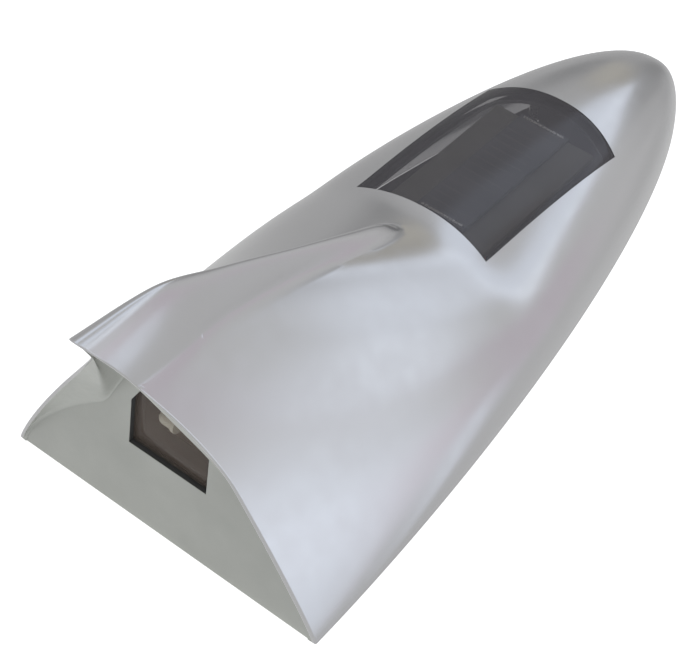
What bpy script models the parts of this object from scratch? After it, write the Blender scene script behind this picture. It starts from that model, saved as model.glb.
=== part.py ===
"""Shark-fin navigation light: a solar-charged stern light in a one-piece painted shell.

Frame: +Z up, +Y from the stern (lens side) to the rounded nose, +X to starboard.
The origin is the middle of the overall box, on the surface that the light stands on.
"Station" below means the distance forward of the shell's lower rear edge.
"""

import math

import bmesh
import bpy
import numpy as np
from mathutils import Matrix, Vector

# ---- driving dimensions, in metres and degrees -------------------------------------------
HALF_WIDTH = 0.0365          # half of the shell's width at its rear edge
BODY_LENGTH = 0.1617         # lower rear edge to nose
BEAK_OVERHANG = 0.0139       # how far the fin's beak reaches behind the lower rear edge
BEAK_START = 0.030           # height where the rear edge starts to sweep back
BEAK_SWEEP = 1.6             # power of that sweep
NOSE_TAPER = 1.71            # plan outline: 1 - (station / length) ** NOSE_TAPER
NOSE_ROUND = 0.53            # power that rounds the nose in plan
RIDGE_REAR = 0.0555          # height of the body's ridge at the rear edge
RIDGE_FRONT = 0.0235         # height where the ridge levels out
LEVEL_STATION = 0.074        # station where it levels out
LEVEL_EASE = 0.06            # how gently it does so
CREST_TAPER = 1.93           # side outline of the nose
CREST_ROUND = 0.43
WALL = 0.0020                # shell wall
RIM = 0.0009                 # width of the shell's rear rim
FOOT = 0.0004                # the adhesive pad lifts the shell this far
FIN_CORE = 0.0016            # the fin is solid where its core would be narrower than this
GAP = 0.0003                 # assembly gap between touching pieces
FIT = 0.00015                # closer gap round small bonded pieces

# (station, value) pairs: power of the body's section, then height and half-width of the fin's section
ROUNDNESS = [(-0.02, 1.09), (0.0, 1.15), (0.02, 1.26), (0.04, 1.47), (0.06, 1.87), (0.08, 2.36),
             (0.10, 2.45), (0.17, 2.45)]
FIN_CREST = [(-0.0139, 0.0660), (0.004, 0.0632), (0.020, 0.0551), (0.040, 0.0438), (0.056, 0.0350),
             (0.0630, 0.0310), (0.0675, 0.0260), (0.074, 0.0050), (0.17, 0.0005)]
FIN_WIDTH = [(-0.0139, 0.0102), (0.0, 0.0080), (0.020, 0.0045), (0.040, 0.0035), (0.060, 0.0045),
             (0.080, 0.0030), (0.17, 0.0005)]
FIN_FRONT = 0.065            # from here to the nose the loft's creases only fan out again
NOSE_FAN = math.radians(66)

PANEL_LEAN = math.radians(9.9)     # the rear panel leans forward by this much
PANEL_THICK = 0.0018
FLANGE = 0.0012                    # the shell's turned-in flange tapers forward by this much
PANEL_SIDE = (0.0354, 0.0310, 1.4)  # half-width, height and power of the panel's lower outline
PANEL_TOP = (0.0269, 0.0555, 1.0)   # the same for its narrow upper part
PANEL_KINK = (0.0154, 0.0237)       # where the two meet

WINDOW_HALF = 0.0158         # solar window in the shell's back
WINDOW_REAR = 0.0752
WINDOW_FRONT = 0.1190
REAR_BOW = 0.0022            # how far its rear and front edges bow forward
FRONT_BOW = 0.0038
WINDOW_THICK = 0.0015
WINDOW_CUT = (0.009, 0.050)  # heights between which the opening is cut
SEAL_SINK = 0.0005           # clears the flats of the lofted wall above it
SEAL_THICK = 0.0007
SEAL_OUTSIDE = 0.0014        # the window seal reaches this far outside the opening
SEAL_INSIDE = 0.0012         # and this far inside it

LENS_HALF = 0.0092           # rear lens: a house-shaped window in the panel
LENS_LOW = 0.0173
LENS_EAVES = 0.0275
LENS_PEAK_HALF = 0.0042
LENS_PEAK = 0.0360
LENS_THICK = 0.0016
LENS_SINK = 0.0003
BEZEL_OUTSIDE = 0.0018       # the bezel overlaps the panel by this much
BEZEL_INSIDE = 0.0008        # and the lens by this much
BEZEL_THICK = 0.0010

PAD_THICK = 0.0008
PAD_EDGE = 0.0070            # clear of the shell's wall
PAD_ENDS = (0.0240, 0.1240)
PAD_HOLE = (0.0070, 0.0100, 0.0100)
PLATE_THICK = 0.0020
PLATE_EDGE = 0.0030          # clear of the shell's wall
PLATE_START = 0.0022         # clear of the rear panel
CORD_EDGES = (0.0016, 0.0027)    # outside and inside of the seal cord, measured like PLATE_EDGE
CORD_STARTS = (0.0008, 0.0019)   # the same, measured like PLATE_START
CORD_LEVELS = (0.0002, 0.0012)   # above the plate's underside
SWITCH_TRAVEL = 0.0020
SWITCH_STATION = 0.040
SWITCH_SIZE = (0.0040, 0.0090)
SLIDER_SIZE = (0.0016, 0.0024, 0.0040)
SLOT_PLAY = 0.0006           # clear of the slider's travel, both ends together
BOARD_SIZE = (0.030, 0.036, 0.0012)
BOARD_STATION = 0.040
STANDOFF = 0.0042
STANDOFF_RADIUS = 0.0024
CELL_SIZE = (0.0118, 0.0355, 0.0010)
CELL_STATION = 0.0992        # middle of the solar cell
CELL_HEIGHT = 0.0180         # top of the cell there
CELL_TILT = math.radians(-2.5)
TRAY_SIZE = (0.0245, 0.0380, 0.0012)
TRAY_SHIFT = 0.0012          # the tray sits this far behind the cell's middle
LAMP_BOARD_SIZE = (0.0190, 0.0012, 0.0215)
LAMP_BOARD_STATION = 0.0150
BATTERY_RADIUS = 0.0052
BATTERY_LENGTH = 0.0200
BATTERY_STATION = 0.0690
BATTERY_LIFT = 0.0016        # above the base plate
CLIP_LENGTH = 0.0120
CLIP_WALL = 0.0013
LAMP_POINT = (-0.0044, 0.0084, 0.0228)   # centre of the dome: across, station, height
LAMP_RADIUS = 0.0015
LAMP_LENGTH = 0.0036         # tip of the dome to the collar
COLLAR_BRIM = 0.0003
COLLAR_THICK = 0.0008
LEAD_RADIUS = 0.00022
LEAD_OFFSET = 0.0006         # each lead leaves this far off the lamp's axis
WIRE_RADIUS = 0.00045
BOSS_RADIUS = 0.0026
BOSS_LENGTH = 0.0100

OUTER_ROWS = 34              # loft rows from the rear edge to the nose
INNER_ROWS = 24
FLANK_STEPS = 10             # loft steps up each flank, and across each half of the fin
FIN_STEPS = 5

REAR_Y = BEAK_OVERHANG - (BODY_LENGTH + BEAK_OVERHANG) / 2
PLATE_LOW = PAD_THICK + GAP
PLATE_TOP = PLATE_LOW + PLATE_THICK
BOARD_LOW = PLATE_TOP + STANDOFF
BOARD_TOP = BOARD_LOW + BOARD_SIZE[2]
SCREW_PLACES = [(-0.0255, 0.014), (0.0255, 0.014), (-0.0115, 0.130), (0.0115, 0.130)]
BOARD_SCREWS = [(-0.0125, 0.0245), (0.0125, 0.0555)]
# screws: radius of the shank, radius and height of the head, length of the shank
BASE_SCREW = (0.0010, 0.0021, 0.0013, 0.0065)
BOARD_SCREW = (0.0008, 0.0018, 0.0012, 0.0036)
SCREW_OVERLAP = 0.0002       # the shank starts this far inside the head

COLOURS = {
    "silver_paint": ((0.62, 0.62, 0.63), 0.30, 0.75),
    "panel_grey": ((0.32, 0.33, 0.31), 0.50, 0.0),
    "smoked": ((0.03, 0.03, 0.035), 0.10, 0.0),
    "cell_blue": ((0.05, 0.05, 0.07), 0.25, 0.1),
    "tray_brown": ((0.14, 0.13, 0.10), 0.50, 0.0),
    "board_green": ((0.03, 0.16, 0.07), 0.45, 0.0),
    "board_brown": ((0.30, 0.20, 0.11), 0.55, 0.0),
    "clear_lamp": ((0.85, 0.83, 0.76), 0.08, 0.0),
    "black_plastic": ((0.03, 0.03, 0.03), 0.50, 0.0),
    "white_plastic": ((0.80, 0.80, 0.78), 0.50, 0.0),
    "tinned_steel": ((0.72, 0.71, 0.68), 0.30, 1.0),
    "green_wrap": ((0.05, 0.30, 0.14), 0.40, 0.0),
    "red_wire": ((0.55, 0.03, 0.03), 0.45, 0.0),
    "black_wire": ((0.03, 0.03, 0.03), 0.45, 0.0),
    "foam_grey": ((0.16, 0.16, 0.17), 0.90, 0.0),
    "seal_black": ((0.04, 0.04, 0.04), 0.80, 0.0),
}

# ---- scene helpers -----------------------------------------------------------------------
def clear_scene():
    for old in list(bpy.data.objects):
        bpy.data.objects.remove(old, do_unlink=True)


def new_collection(name):
    collection = bpy.data.collections.new(name)
    bpy.context.scene.collection.children.link(collection)
    return collection


def material(name):
    if name in bpy.data.materials:
        return bpy.data.materials[name]
    colour, roughness, metallic = COLOURS[name]
    made = bpy.data.materials.new(name)
    made.use_nodes = True
    shader = made.node_tree.nodes["Principled BSDF"]
    shader.inputs["Base Color"].default_value = (*colour, 1.0)
    shader.inputs["Roughness"].default_value = roughness
    shader.inputs["Metallic"].default_value = metallic
    made.diffuse_color = (*colour, 1.0)
    return made


def place(name, bm, finish, collection):
    """Turn a bmesh into a named object with one material, shaded smooth with sharp edges kept."""
    bmesh.ops.recalc_face_normals(bm, faces=bm.faces)
    mesh = bpy.data.meshes.new(name)
    bm.to_mesh(mesh)
    bm.free()
    mesh.shade_smooth()
    mesh.set_sharp_from_angle(angle=math.radians(35))
    thing = bpy.data.objects.new(name, mesh)
    thing.data.materials.append(material(finish))
    collection.objects.link(thing)
    return thing


def part(name, bm, finish):
    return place(name, bm, finish, PARTS)


def cutter(name, bm):
    thing = place(name, bm, "black_plastic", CUTTERS)
    thing.hide_render = True
    thing.display_type = "WIRE"
    return thing


def boolean(thing, other, operation="DIFFERENCE"):
    step = thing.modifiers.new(other.name, "BOOLEAN")
    step.operation = operation
    step.solver = "EXACT"
    step.object = other


def box(size, centre):
    bm = bmesh.new()
    bmesh.ops.create_cube(bm, size=1.0)
    bmesh.ops.scale(bm, vec=size, verts=bm.verts)
    bmesh.ops.translate(bm, vec=centre, verts=bm.verts)
    return bm


def rod(radius, length, centre, axis="Z", sides=20, tip_radius=None):
    """A cylinder or cone about the given axis; tip_radius is at its + end."""
    bm = bmesh.new()
    tip = radius if tip_radius is None else tip_radius
    bmesh.ops.create_cone(bm, cap_ends=True, segments=sides, radius1=radius, radius2=tip, depth=length)
    turns = {"X": Matrix.Rotation(math.pi / 2, 3, "Y"), "Y": Matrix.Rotation(-math.pi / 2, 3, "X")}
    if axis in turns:
        bmesh.ops.rotate(bm, cent=(0, 0, 0), matrix=turns[axis], verts=bm.verts)
    bmesh.ops.translate(bm, vec=centre, verts=bm.verts)
    return bm


def prism(outline, low, high):
    """A closed prism over a flat outline of (x, y) points."""
    bm = bmesh.new()
    bottom = [bm.verts.new((x, y, low)) for x, y in outline]
    top = [bm.verts.new((x, y, high)) for x, y in outline]
    skin(bm, [bottom, top])
    return bm


def skin(bm, rings):
    """Join closed rings of vertices in order, and cap both ends."""
    for below, above in zip(rings, rings[1:]):
        for i in range(len(below)):
            j = (i + 1) % len(below)
            bm.faces.new((below[i], below[j], above[j], above[i]))
    bm.faces.new(list(reversed(rings[0])))
    bm.faces.new(rings[-1])


def tube(name, route, radius, finish):
    """A round wire along a smooth curve through the route's points."""
    points = smooth_route([Vector(p) for p in route])
    curve = bpy.data.curves.new(name, "CURVE")
    curve.dimensions = "3D"
    curve.bevel_depth = radius
    curve.bevel_resolution = 2
    curve.use_fill_caps = True
    spline = curve.splines.new("POLY")
    spline.points.add(len(points) - 1)
    for point, at in zip(spline.points, points):
        point.co = (*at, 1.0)
    thing = bpy.data.objects.new(name, curve)
    thing.data.materials.append(material(finish))
    PARTS.objects.link(thing)
    return thing


def smooth_route(points, steps=5):
    """Catmull-Rom points through the route."""
    ends = [2 * points[0] - points[1]] + points + [2 * points[-1] - points[-2]]
    made = [points[0]]
    for a, b, c, d in zip(ends, ends[1:], ends[2:], ends[3:]):
        for k in range(1, steps + 1):
            t = k / steps
            made.append(0.5 * (2 * b + (c - a) * t + (2 * a - 5 * b + 4 * c - d) * t * t
                               + (3 * b - a - 3 * c + d) * t ** 3))
    return made


# ---- the shell's shape -------------------------------------------------------------------
def interpolate(stations, at):
    """Monotone cubic curve through (station, value) pairs."""
    xs = np.array([s for s, _ in stations])
    vs = np.array([v for _, v in stations])
    step = np.diff(xs)
    slope = np.diff(vs) / step
    tangent = np.zeros(len(xs))
    for i in range(1, len(xs) - 1):
        if slope[i - 1] * slope[i] > 0:
            w1 = 2 * step[i] + step[i - 1]
            w2 = step[i] + 2 * step[i - 1]
            tangent[i] = (w1 + w2) / (w1 / slope[i - 1] + w2 / slope[i])
    tangent[0], tangent[-1] = slope[0], slope[-1]
    at = min(max(at, xs[0]), xs[-1])
    i = min(int(np.searchsorted(xs, at, side="right")) - 1, len(step) - 1)
    t = (at - xs[i]) / step[i]
    return float((1 + 2 * t) * (1 - t) ** 2 * vs[i] + t * (1 - t) ** 2 * step[i] * tangent[i]
                 + t * t * (3 - 2 * t) * vs[i + 1] + t * t * (t - 1) * step[i] * tangent[i + 1])


def half_width(station):
    share = min(max(station / BODY_LENGTH, 0.0), 1.0)
    return HALF_WIDTH * max(1 - share ** NOSE_TAPER, 0.0) ** NOSE_ROUND


def ridge_height(station):
    share = min(max((station - LEVEL_STATION) / (BODY_LENGTH - LEVEL_STATION), 0.0), 1.0)
    front = RIDGE_FRONT * max(1 - share ** CREST_TAPER, 0.0) ** CREST_ROUND
    fall = 1 - station / LEVEL_STATION
    return front + (RIDGE_REAR - RIDGE_FRONT) * (fall + math.hypot(fall, LEVEL_EASE)) / 2


def superellipse(width, height, power, angle):
    """Distance from the axis to the curve, at an angle up from starboard."""
    across = abs(math.cos(angle)) / max(width, 1e-6)
    up = abs(math.sin(angle)) / max(height, 1e-6)
    return (across ** power + up ** power) ** (-1 / power)


def section_radius(station, angle, inset=0.0):
    """Distance from the axis to the shell's surface; inset moves it inward."""
    body = superellipse(half_width(station) - inset, ridge_height(station) - inset,
                        interpolate(ROUNDNESS, station), angle)
    width = interpolate(FIN_WIDTH, station) - inset
    if width < FIN_CORE:
        return body
    crest = interpolate(FIN_CREST, station) - 1.5 * inset
    return max(body, superellipse(width, crest, 2.0, angle))


def section_point(station, angle, inset=0.0):
    radius = section_radius(station, angle, inset)
    return Vector((radius * math.cos(angle), REAR_Y + station, FOOT + radius * math.sin(angle)))


def edge_station(height):
    """Station of the rear edge at a height: upright at first, then swept back to the beak."""
    share = min(max((height - BEAK_START) / (FIN_CREST[0][1] - BEAK_START), 0.0), 1.0)
    return -BEAK_OVERHANG * share ** BEAK_SWEEP


def settle(column, inset, station_of_height):
    """Station where a loft line meets a rear boundary that is a function of height."""
    station = 0.0
    for _ in range(14):
        angle = loft_angle(column, station)
        height = section_radius(station, angle, inset) * math.sin(angle)
        station = 0.5 * station + 0.5 * station_of_height(height)
    return station


def crease_angle(station):
    """Angle at which the fin rises out of the body's flank."""
    low, high = math.radians(50), math.radians(89.5)
    for _ in range(30):
        middle = (low + high) / 2
        fin = superellipse(interpolate(FIN_WIDTH, station), interpolate(FIN_CREST, station), 2.0, middle)
        power = interpolate(ROUNDNESS, station)
        body = superellipse(half_width(station), ridge_height(station), power, middle)
        low, high = (middle, high) if fin < body else (low, middle)
    return low


def crease_line():
    """The crease's angle along the body, then a fan of the same loft lines towards the nose."""
    stations = [FIN_FRONT * i / 16 for i in range(-3, 17)]
    line = [(station, crease_angle(station)) for station in stations]
    return line + [(0.09, (line[-1][1] + NOSE_FAN) / 2), (0.12, NOSE_FAN), (BODY_LENGTH, NOSE_FAN)]


def loft_columns():
    """Loft lines numbered 0 at the starboard foot, 1 at its crease, 2 at the top, 4 at the port foot."""
    flank = [i / FLANK_STEPS for i in range(FLANK_STEPS)]
    fin = [1 + i / FIN_STEPS for i in range(FIN_STEPS)]
    half = flank + fin
    return half + [2.0] + [4 - column for column in reversed(half)]


def column_angle(column, crease):
    """Angle of a loft line where the crease stands at the given angle."""
    if column > 2:
        return math.pi - column_angle(4 - column, crease)
    if column <= 1:
        return crease * column
    return crease + (math.pi / 2 - crease) * (column - 1)


def loft_angle(column, station):
    return column_angle(column, interpolate(CREASE, station))


def panel_radius(angle):
    """Outline of the rear panel, as a distance from the axis within its leaning plane."""
    side = superellipse(*PANEL_SIDE, angle)
    top = superellipse(*PANEL_TOP, angle)
    return max(side, top)


def panel_outline(inset=0.0):
    """Points (x, z) round the panel; its kinks line up with the shell's creases."""
    kink = math.atan2(PANEL_KINK[1], PANEL_KINK[0])
    points = []
    for column in loft_columns():
        angle = column_angle(column, kink)
        radius = panel_radius(angle) - inset
        points.append((radius * math.cos(angle), radius * math.sin(angle)))
    return points


def lean(height):
    """Station of the rear panel's outer face at a height above the shell's foot."""
    return height * math.tan(PANEL_LEAN)


def flange_station(height):
    """Station where the shell's inner surface begins, forward of the panel's flange."""
    return lean(height) + PANEL_THICK + FLANGE


def surface_height(x, station, inset=0.0):
    """Height of the body's flank over a point of the plan, without the fin."""
    width = half_width(station) - inset
    power = interpolate(ROUNDNESS, station)
    share = min(abs(x) / max(width, 1e-6), 1.0)
    return FOOT + (ridge_height(station) - inset) * max(1 - share ** power, 0.0) ** (1 / power)


# ---- the shell ---------------------------------------------------------------------------
def ring(bm, points):
    return [bm.verts.new(point) for point in points]


def bridge(bm, first, second):
    """Faces between two open rows of vertices."""
    for i in range(len(first) - 1):
        bm.faces.new((first[i], first[i + 1], second[i + 1], second[i]))


def panel_point(x, height, forward):
    """A point of the leaning rear panel, set forward of its outer face."""
    return Vector((x, REAR_Y + lean(height) + forward, FOOT + height))


def outer_rows(bm, columns):
    edges = [settle(column, 0.0, edge_station) for column in columns]
    rows = []
    for i in range(OUTER_ROWS):
        share = (1 - math.cos(math.pi * i / OUTER_ROWS)) / 2
        points = []
        for edge, column in zip(edges, columns):
            station = edge + (BODY_LENGTH - edge) * share
            points.append(section_point(station, loft_angle(column, station)))
        rows.append(ring(bm, points))
    return rows


def inner_rows(bm, columns, mouth):
    """Inner surface from behind the rear panel to the nose; it clears the panel's mouth."""
    starts = [settle(column, WALL, flange_station) for column in columns]
    rows = []
    for i in range(INNER_ROWS):
        share = (1 - math.cos(math.pi * i / INNER_ROWS)) / 2
        points = []
        for start, column, (x, height) in zip(starts, columns, mouth):
            station = start + (BODY_LENGTH - WALL - start) * share
            point = section_point(station, loft_angle(column, station), WALL)
            if i == 0:
                spread = max(1.0, (math.hypot(x, height) + GAP) / math.hypot(point.x, point.z - FOOT))
                point.x *= spread
                point.z = FOOT + (point.z - FOOT) * spread
            points.append(point)
        rows.append(ring(bm, points))
    return rows


def rim_point(column):
    station = settle(column, RIM, edge_station)
    return section_point(station, loft_angle(column, station), RIM)


def shell_body():
    """A loft: outer surface, nose, inner surface, then the flared recess back to the rim."""
    bm = bmesh.new()
    columns = loft_columns()
    mouth = panel_outline()
    outer = outer_rows(bm, columns)
    inner = inner_rows(bm, columns, mouth)
    nose = bm.verts.new((0.0, REAR_Y + BODY_LENGTH, FOOT))
    inner_nose = bm.verts.new((0.0, REAR_Y + BODY_LENGTH - WALL, FOOT))
    mouth_front = ring(bm, [panel_point(x, height, PANEL_THICK) for x, height in mouth])
    mouth_rear = ring(bm, [panel_point(x, height, 0.0) for x, height in mouth])
    rim = ring(bm, [rim_point(column) for column in columns])
    back = [mouth_front, mouth_rear, rim, outer[0]]
    loops = list(reversed(inner)) + back
    for first, second in zip(outer, outer[1:]):
        bridge(bm, first, second)
    for first, second in zip(loops, loops[1:]):
        bridge(bm, first, second)
    for tip, row in ((nose, outer[-1]), (inner_nose, inner[-1])):
        for i in range(len(row) - 1):
            bm.faces.new((row[i], row[i + 1], tip))
    for side in (0, -1):
        foot = [row[side] for row in outer] + [nose, inner_nose] + [row[side] for row in loops[:-1]]
        bm.faces.new(foot)
    bmesh.ops.triangulate(bm, faces=[face for face in bm.faces if len(face.verts) > 4])
    return bm


def boss(x, station):
    """A screw post whose head is buried in the middle of the shell's wall."""
    centre = (x, REAR_Y + station, PLATE_TOP + GAP + BOSS_LENGTH / 2)
    bm = rod(BOSS_RADIUS, BOSS_LENGTH, centre, sides=12)
    top = max(vert.co.z for vert in bm.verts)
    for vert in bm.verts:
        if vert.co.z > top - 1e-6:
            vert.co.z = surface_height(vert.co.x, vert.co.y - REAR_Y, WALL / 2)
    return bm


def window_ends(x, inset):
    """Stations of the solar window's bowed rear and front edges at a distance off the centre line."""
    bow = 1 - (x / (WINDOW_HALF - inset)) ** 2
    return WINDOW_REAR + inset + REAR_BOW * bow, WINDOW_FRONT - inset + FRONT_BOW * bow


def window_outline(inset=0.0, steps=8):
    """Plan of the solar window: straight sides, and ends that bow forward."""
    half = WINDOW_HALF - inset
    across = [half * (2 * i / steps - 1) for i in range(steps + 1)]
    rear = [(x, REAR_Y + window_ends(x, inset)[0]) for x in across]
    front = [(x, REAR_Y + window_ends(x, inset)[1]) for x in reversed(across)]
    return rear + front


def build_top_shell():
    shell = part("top_shell", shell_body(), "silver_paint")
    boolean(shell, cutter("window_cutter", prism(window_outline(), *WINDOW_CUT)))
    for i, (x, station) in enumerate(SCREW_PLACES, 1):
        boolean(shell, cutter(f"boss_{i}", boss(x, station)), "UNION")
        hole = rod(0.0014, 0.009, (x, REAR_Y + station, PLATE_TOP + 0.0040), sides=12)
        boolean(shell, cutter(f"boss_hole_{i}", hole))


# ---- solar window, seal, cell ------------------------------------------------------------
def back_patch(inset, depth, thickness, across=8, along=10):
    """A closed piece that follows the shell's back, under the window's plan."""
    bm = bmesh.new()
    half = WINDOW_HALF - inset
    rows = []
    for level in (depth + thickness, depth):
        grid = []
        for j in range(along + 1):
            row = []
            for i in range(across + 1):
                x = half * (2 * i / across - 1)
                rear, front = window_ends(x, inset)
                station = rear + (front - rear) * j / along
                row.append(bm.verts.new((x, REAR_Y + station, surface_height(x, station, level))))
            grid.append(row)
        rows.append(grid)
    low, high = rows
    for first, second in zip(low, low[1:]):
        bridge(bm, first, second)
    for first, second in zip(high, high[1:]):
        bridge(bm, second, first)
    for j in range(along):
        for i in (0, across):
            bm.faces.new((low[j][i], low[j + 1][i], high[j + 1][i], high[j][i]))
    for i in range(across):
        for j in (0, along):
            bm.faces.new((low[j][i], low[j][i + 1], high[j][i + 1], high[j][i]))
    return bm


def tilted_box(size, centre):
    bm = box(size, (0, 0, 0))
    bmesh.ops.rotate(bm, cent=(0, 0, 0), matrix=Matrix.Rotation(CELL_TILT, 3, "X"), verts=bm.verts)
    bmesh.ops.translate(bm, vec=centre, verts=bm.verts)
    return bm


def build_solar_parts():
    part("solar_window", back_patch(GAP, 0.0, WINDOW_THICK), "smoked")
    seal = part("window_seal", back_patch(-SEAL_OUTSIDE, WALL + SEAL_SINK, SEAL_THICK), "seal_black")
    boolean(seal, cutter("seal_cutter", prism(window_outline(SEAL_INSIDE), *WINDOW_CUT)))
    top = FOOT + CELL_HEIGHT
    y = REAR_Y + CELL_STATION
    part("solar_cell", tilted_box(CELL_SIZE, (0, y, top - CELL_SIZE[2] / 2)), "cell_blue")
    tray_z = top - CELL_SIZE[2] - FIT - TRAY_SIZE[2] / 2
    part("cell_tray", tilted_box(TRAY_SIZE, (0, y - TRAY_SHIFT, tray_z)), "tray_brown")


# ---- rear panel and lens -----------------------------------------------------------------
def leaning_prism(outline, rear, front):
    """A closed plate in the panel's plane, between two distances forward of its face."""
    bm = bmesh.new()
    rings = []
    for depth in (rear, front):
        rings.append(ring(bm, [panel_point(x, height, depth) for x, height in outline]))
    skin(bm, rings)
    return bm


def house(inset):
    """The lens outline: upright sides under a steep, cut-off peak."""
    half = LENS_HALF - inset
    peak = LENS_PEAK_HALF - inset * 0.6
    starboard = [(half, LENS_LOW + inset), (half, LENS_EAVES), (peak, LENS_PEAK - inset)]
    return starboard + [(-x, height) for x, height in reversed(starboard)]


def build_rear_parts():
    outline = [(x, max(height, FIT)) for x, height in panel_outline(GAP)]
    panel = part("rear_panel", leaning_prism(outline, 0.0, PANEL_THICK), "panel_grey")
    boolean(panel, cutter("lens_cutter", leaning_prism(house(0.0), -PANEL_THICK, 2 * PANEL_THICK)))
    part("rear_lens", leaning_prism(house(FIT), LENS_SINK, LENS_SINK + LENS_THICK), "smoked")
    bezel_rear = PANEL_THICK + GAP
    bezel_front = bezel_rear + BEZEL_THICK
    ring_body = leaning_prism(house(-BEZEL_OUTSIDE), bezel_rear, bezel_front)
    bezel = part("lens_bezel", ring_body, "black_plastic")
    boolean(bezel, cutter("bezel_cutter", leaning_prism(house(BEZEL_INSIDE), 0.0, 2 * bezel_front)))


# ---- lamp --------------------------------------------------------------------------------
def lamp_shape():
    """Clear 3 mm lamp: dome, barrel and collar, as (along, radius) points from the dome's tip."""
    profile = []
    for i in range(6):
        turn = math.pi / 2 * i / 5
        profile.append((LAMP_RADIUS * (1 - math.cos(turn)), LAMP_RADIUS * math.sin(turn)))
    profile.append((LAMP_LENGTH, LAMP_RADIUS))
    profile.append((LAMP_LENGTH, LAMP_RADIUS + COLLAR_BRIM))
    profile.append((LAMP_LENGTH + COLLAR_THICK, LAMP_RADIUS + COLLAR_BRIM))
    profile.append((LAMP_LENGTH + COLLAR_THICK, 0.0))
    return profile


def build_lamp():
    bm = bmesh.new()
    verts = [bm.verts.new((x, r, 0.0)) for x, r in lamp_shape()]
    edges = [bm.edges.new(pair) for pair in zip(verts, verts[1:])]
    bmesh.ops.spin(bm, geom=verts + edges, cent=(0, 0, 0), axis=(1, 0, 0), angle=2 * math.pi, steps=16,
                   use_duplicate=False)
    bmesh.ops.remove_doubles(bm, verts=bm.verts, dist=1e-6)
    x, station, height = LAMP_POINT
    tip = Vector((x - LAMP_RADIUS, REAR_Y + station, FOOT + height))
    bmesh.ops.translate(bm, vec=tip, verts=bm.verts)
    part("lamp", bm, "clear_lamp")
    build_lamp_leads(tip + Vector((LAMP_LENGTH + COLLAR_THICK + FIT, 0, 0)))
    board_z = BOARD_TOP + GAP + LAMP_BOARD_SIZE[2] / 2
    part("lamp_board", box(LAMP_BOARD_SIZE, (0, REAR_Y + LAMP_BOARD_STATION, board_z)), "board_brown")


def build_lamp_leads(base):
    """Two leads from the lamp's base, bent forward to the lamp board."""
    board_face = REAR_Y + LAMP_BOARD_STATION - LAMP_BOARD_SIZE[1] / 2 - FIT
    for name, offset in (("lamp_lead_a", LEAD_OFFSET), ("lamp_lead_b", -LEAD_OFFSET)):
        route = [base + Vector((0, 0, offset)),
                 base + Vector((0.0016, 0, offset * 1.6)),
                 base + Vector((0.0024, 0.0008, offset * 2)),
                 Vector((base.x + 0.0026, board_face, base.z + offset * 2))]
        tube(name, route, LEAD_RADIUS, "tinned_steel")


# ---- electronics -------------------------------------------------------------------------
def on_board(x, station, height):
    return (x, REAR_Y + station, BOARD_TOP + FIT + height)


def build_board_parts():
    centre = (0, REAR_Y + BOARD_STATION, BOARD_LOW + BOARD_SIZE[2] / 2)
    board = part("control_board", box(BOARD_SIZE, centre), "board_green")
    for i, (x, station) in enumerate(BOARD_SCREWS, 1):
        hole = rod(0.0013, 0.006, (x, REAR_Y + station, BOARD_LOW), sides=12)
        boolean(board, cutter(f"board_hole_{i}", hole))
    chip = (0.0050, 0.0040, 0.0015)
    part("charge_chip", box(chip, on_board(-0.004, 0.040, chip[2] / 2)), "black_plastic")
    for name, radius, length, x, station, sides, finish in (
            ("storage_capacitor", 0.0025, 0.0075, 0.0085, 0.0360, 20, "black_plastic"),
            ("vibration_sensor", 0.0016, 0.0060, -0.0095, 0.0385, 16, "tinned_steel"),
            ("light_sensor", 0.0022, 0.0018, 0.0025, 0.0300, 16, "clear_lamp")):
        part(name, rod(radius, length, on_board(x, station, length / 2), sides=sides), finish)
    radius = 0.0008
    for i in (1, 2):
        at = on_board(-0.001, 0.045 + 0.0035 * i, radius)
        part(f"resistor_{i}", rod(radius, 0.0032, at, "X", 10), "tray_brown")


def battery_centre():
    return (0, REAR_Y + BATTERY_STATION, PLATE_TOP + BATTERY_LIFT + BATTERY_RADIUS)


def build_battery():
    centre = battery_centre()
    part("battery_cell", rod(BATTERY_RADIUS, BATTERY_LENGTH, centre, "X", 24), "green_wrap")
    size = (CLIP_LENGTH, 2 * (BATTERY_RADIUS + CLIP_WALL), BATTERY_RADIUS + CLIP_WALL - GAP)
    clip = part("battery_clip", box(size, (0, centre[1], PLATE_TOP + GAP + size[2] / 2)), "white_plastic")
    boolean(clip, cutter("clip_cutter", rod(BATTERY_RADIUS + GAP, BATTERY_LENGTH, centre, "X", 24)))


def build_wires():
    """Red to starboard and black to port: from the solar cell and the battery down to the board."""
    board_top = BOARD_TOP + FIT + WIRE_RADIUS
    board_y = REAR_Y + BOARD_STATION
    cell_y = REAR_Y + CELL_STATION - 0.014
    cell_z = FOOT + CELL_HEIGHT - 0.0036
    battery_y, battery_z = battery_centre()[1:]
    for side, colour in ((1, "red"), (-1, "black")):
        x = side * 0.0085
        route = [(x, cell_y, cell_z),
                 (x * 1.2, cell_y - 0.003, cell_z - 0.0025),
                 (x * 1.45, cell_y - 0.012, 0.0145),
                 (x * 1.3, board_y + 0.020, 0.0135),
                 (x * 1.2, board_y + 0.0135, 0.0120),
                 (x * 1.2, board_y + 0.0125, board_top)]
        tube(f"cell_wire_{colour}", route, WIRE_RADIUS, f"{colour}_wire")
        x = side * (BATTERY_LENGTH / 2 + FIT)
        route = [(x, battery_y, battery_z),
                 (x + side * 0.0018, battery_y - 0.001, battery_z + 0.0005),
                 (x + side * 0.0010, battery_y - 0.008, 0.0125),
                 (x - side * 0.0035, board_y + 0.0152, 0.0125),
                 (x - side * 0.0045, board_y + 0.0140, board_top)]
        tube(f"battery_wire_{colour}", route, WIRE_RADIUS, f"{colour}_wire")


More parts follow.
